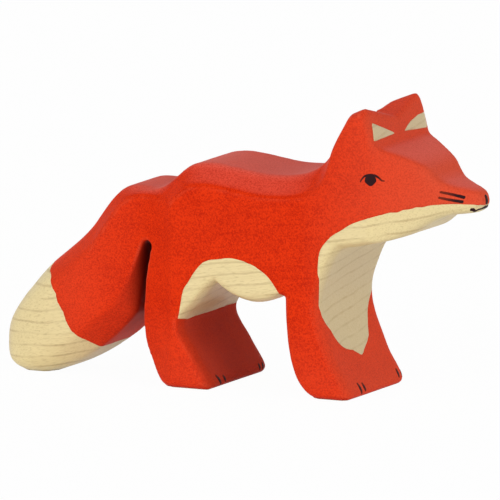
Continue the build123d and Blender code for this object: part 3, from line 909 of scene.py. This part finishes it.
class FOX_OT_nose_and_mouth(bpy.types.Operator):
    """Paints the line down the nose and the mouth below it"""

    bl_idname = "fox.nose_and_mouth"
    bl_label = "Nose and mouth"

    def execute(self, context):
        nose = [box_point("nose_line", (1.0, 0.3, z)) for z in (1.0, 0.5, -0.05)]
        paint_piece("nose_line", [(nose, mm(1.1, 1.3, 1.5), [0.9, 1.2, 1.3], (-1, 0, 0))])
        strokes = []
        for sign in SIDES.values():
            line = [box_point("mouth_line", (x, 0.5 + 0.5 * sign * y, z)) for x, y, z in (
                (0.945, 0.0, 1.2), (0.90, 0.35, 0.6), (0.79, 0.62, 0.2),
                (0.58, 0.71, -0.5), (0.40, 0.78, 0.3), (0.18, 0.87, 0.3))]
            strokes.append((
                line, mm(1.2, 0.5, 0.45, 0.6, 0.8, 0.6), [1.3, 1.0, 0.9, 1.1, 1.3, 1.1],
                (-1, -0.8 * sign, 0)))
        paint_piece("mouth_line", strokes)
        return {"FINISHED"}


class FOX_OT_toe_lines(bpy.types.Operator):
    """Paints two short strokes on the front of each foot"""

    bl_idname = "fox.toe_lines"
    bl_label = "Toe lines"

    def execute(self, context):
        for node, ends in TOE_STROKES.items():
            left = node.endswith("left")
            strokes = []
            for upper, lower in ends:
                line = [
                    box_point(node, (x, 1 - inward if left else inward, z))
                    for x, (inward, z) in zip((0.4, 0.8), (upper, lower))]
                strokes.append((line, mm(0.6, 1.0, 0.6), [0.2, 0.8, 0.2], (-1, 0, -0.4)))
            paint_piece(node, strokes)
        return {"FINISHED"}


class FOX_OT_stage(bpy.types.Operator):
    """Sets the white floor, the soft light and the camera"""

    bl_idname = "fox.stage"
    bl_label = "Stage"

    def execute(self, context):
        set_floor()
        set_light()
        set_camera()
        context.scene.view_settings.view_transform = "Standard"
        return {"FINISHED"}


def seen_directly(tree):
    """One for rays that come from the camera, a reflection or glass, where the background shows."""
    path = add_node(tree, "ShaderNodeLightPath").outputs
    return math_node(
        tree, "MAXIMUM", path["Is Camera Ray"], path["Is Glossy Ray"], path["Is Transmission Ray"])


def set_floor():
    """White floor that the camera sees as almost even white, with the figure's shadow."""
    bm = bmesh.new()
    bmesh.ops.create_grid(bm, x_segments=1, y_segments=1, size=FLOOR_SIZE)
    floor = new_object(to_mesh(bm, "floor"), "floor")
    material, tree, shader, _ = new_material("white_floor")
    shader.inputs["Base Color"].default_value = FLOOR_WHITE
    shader.inputs["Roughness"].default_value = 0.9
    glow = add_node(tree, "ShaderNodeEmission", {"Strength": 1.0}).outputs["Emission"]
    share = math_node(tree, "MULTIPLY", seen_directly(tree), FLOOR_GLOW)
    mix = add_node(tree, "ShaderNodeMixShader", {0: share, 1: shader.outputs["BSDF"], 2: glow})
    tree.links.new(mix.outputs["Shader"], tree.nodes["Material Output"].inputs["Surface"])
    floor.data.materials.append(material)


def set_light():
    """Even light all round, a large soft light on the near flank and another on the chest."""
    stage = settings()[2]
    add_sun("soft_key", stage.key, *KEY_PLACE)
    add_sun("soft_fill", stage.fill, *FILL_PLACE)
    world = bpy.data.worlds.new("white_room")
    world.use_nodes = True
    tree = world.node_tree
    background = tree.nodes["Background"]
    background.inputs["Color"].default_value = (1, 1, 1, 1)
    strength = remap(tree, seen_directly(tree), 0.0, 1.0, stage.sky, 1.0)
    tree.links.new(strength, background.inputs["Strength"])
    bpy.context.scene.world = world


def add_sun(name, strength, azimuth, elevation):
    """Wide soft sun that shines from one direction."""
    lamp = bpy.data.lights.new(name, "SUN")
    lamp.energy = strength
    lamp.angle = LIGHT_WIDTH
    sun = bpy.data.objects.new(name, lamp)
    place = from_angles(azimuth, elevation)
    sun.location = place
    sun.rotation_euler = place.to_track_quat("Z", "Y").to_euler()
    bpy.context.scene.collection.objects.link(sun)


def from_angles(azimuth, elevation):
    """Direction towards a place round the figure, from its near side."""
    flat = math.cos(elevation)
    return Vector((math.sin(azimuth) * flat, -math.cos(azimuth) * flat, math.sin(elevation)))


def set_camera():
    """Long lens at the photo's angle."""
    stage = settings()[2]
    lens = bpy.data.cameras.new("camera")
    lens.lens = stage.lens
    lens.sensor_width = 36.0
    camera = bpy.data.objects.new("camera", lens)
    place = from_angles(stage.azimuth, stage.elevation)
    camera.location = Vector(stage.target) + place * stage.distance
    camera.rotation_euler = place.to_track_quat("Z", "Y").to_euler()
    bpy.context.scene.collection.objects.link(camera)
    bpy.context.scene.camera = camera


OPERATORS = (
    FOX_OT_wood_core, FOX_OT_red_coat, FOX_OT_clear_coats, FOX_OT_eyes, FOX_OT_whiskers,
    FOX_OT_nose_and_mouth, FOX_OT_toe_lines, FOX_OT_stage)


class FOX_PT_workshop(bpy.types.Panel):
    """Lists the steps that finish the fox"""

    bl_idname = "FOX_PT_workshop"
    bl_label = "Carved fox"
    bl_space_type = "VIEW_3D"
    bl_region_type = "UI"
    bl_category = "Fox"

    def draw(self, context):
        for operator in OPERATORS:
            self.layout.operator(operator.bl_idname)
        for group in settings():
            for name in group.__annotations__:
                self.layout.prop(group, name)


CLASSES = (FoxCarving, FoxFinish, FoxStage) + OPERATORS + (FOX_PT_workshop,)


def register():
    """Makes the settings, the steps and the panel known to Blender."""
    for cls in CLASSES:
        bpy.utils.register_class(cls)
    bpy.types.Scene.fox_carving = PointerProperty(type=FoxCarving)
    bpy.types.Scene.fox_finish = PointerProperty(type=FoxFinish)
    bpy.types.Scene.fox_stage = PointerProperty(type=FoxStage)


def unregister():
    """Takes them away again."""
    del bpy.types.Scene.fox_stage
    del bpy.types.Scene.fox_finish
    del bpy.types.Scene.fox_carving
    for cls in reversed(CLASSES):
        bpy.utils.unregister_class(cls)


def clear_startup():
    """Removes the objects that a new file opens with."""
    for name in ("Cube", "Light", "Camera"):
        if name in bpy.data.objects:
            bpy.data.objects.remove(bpy.data.objects[name])


def main():
    """Finishes the fox step by step."""
    register()
    clear_startup()
    bpy.ops.fox.wood_core()
    bpy.ops.fox.red_coat()
    bpy.ops.fox.clear_coats()
    bpy.ops.fox.eyes()
    bpy.ops.fox.whiskers()
    bpy.ops.fox.nose_and_mouth()
    bpy.ops.fox.toe_lines()
    bpy.ops.fox.stage()
    bpy.data.meshes.remove(sanded_figure())


if __name__ == "__main__":
    main()
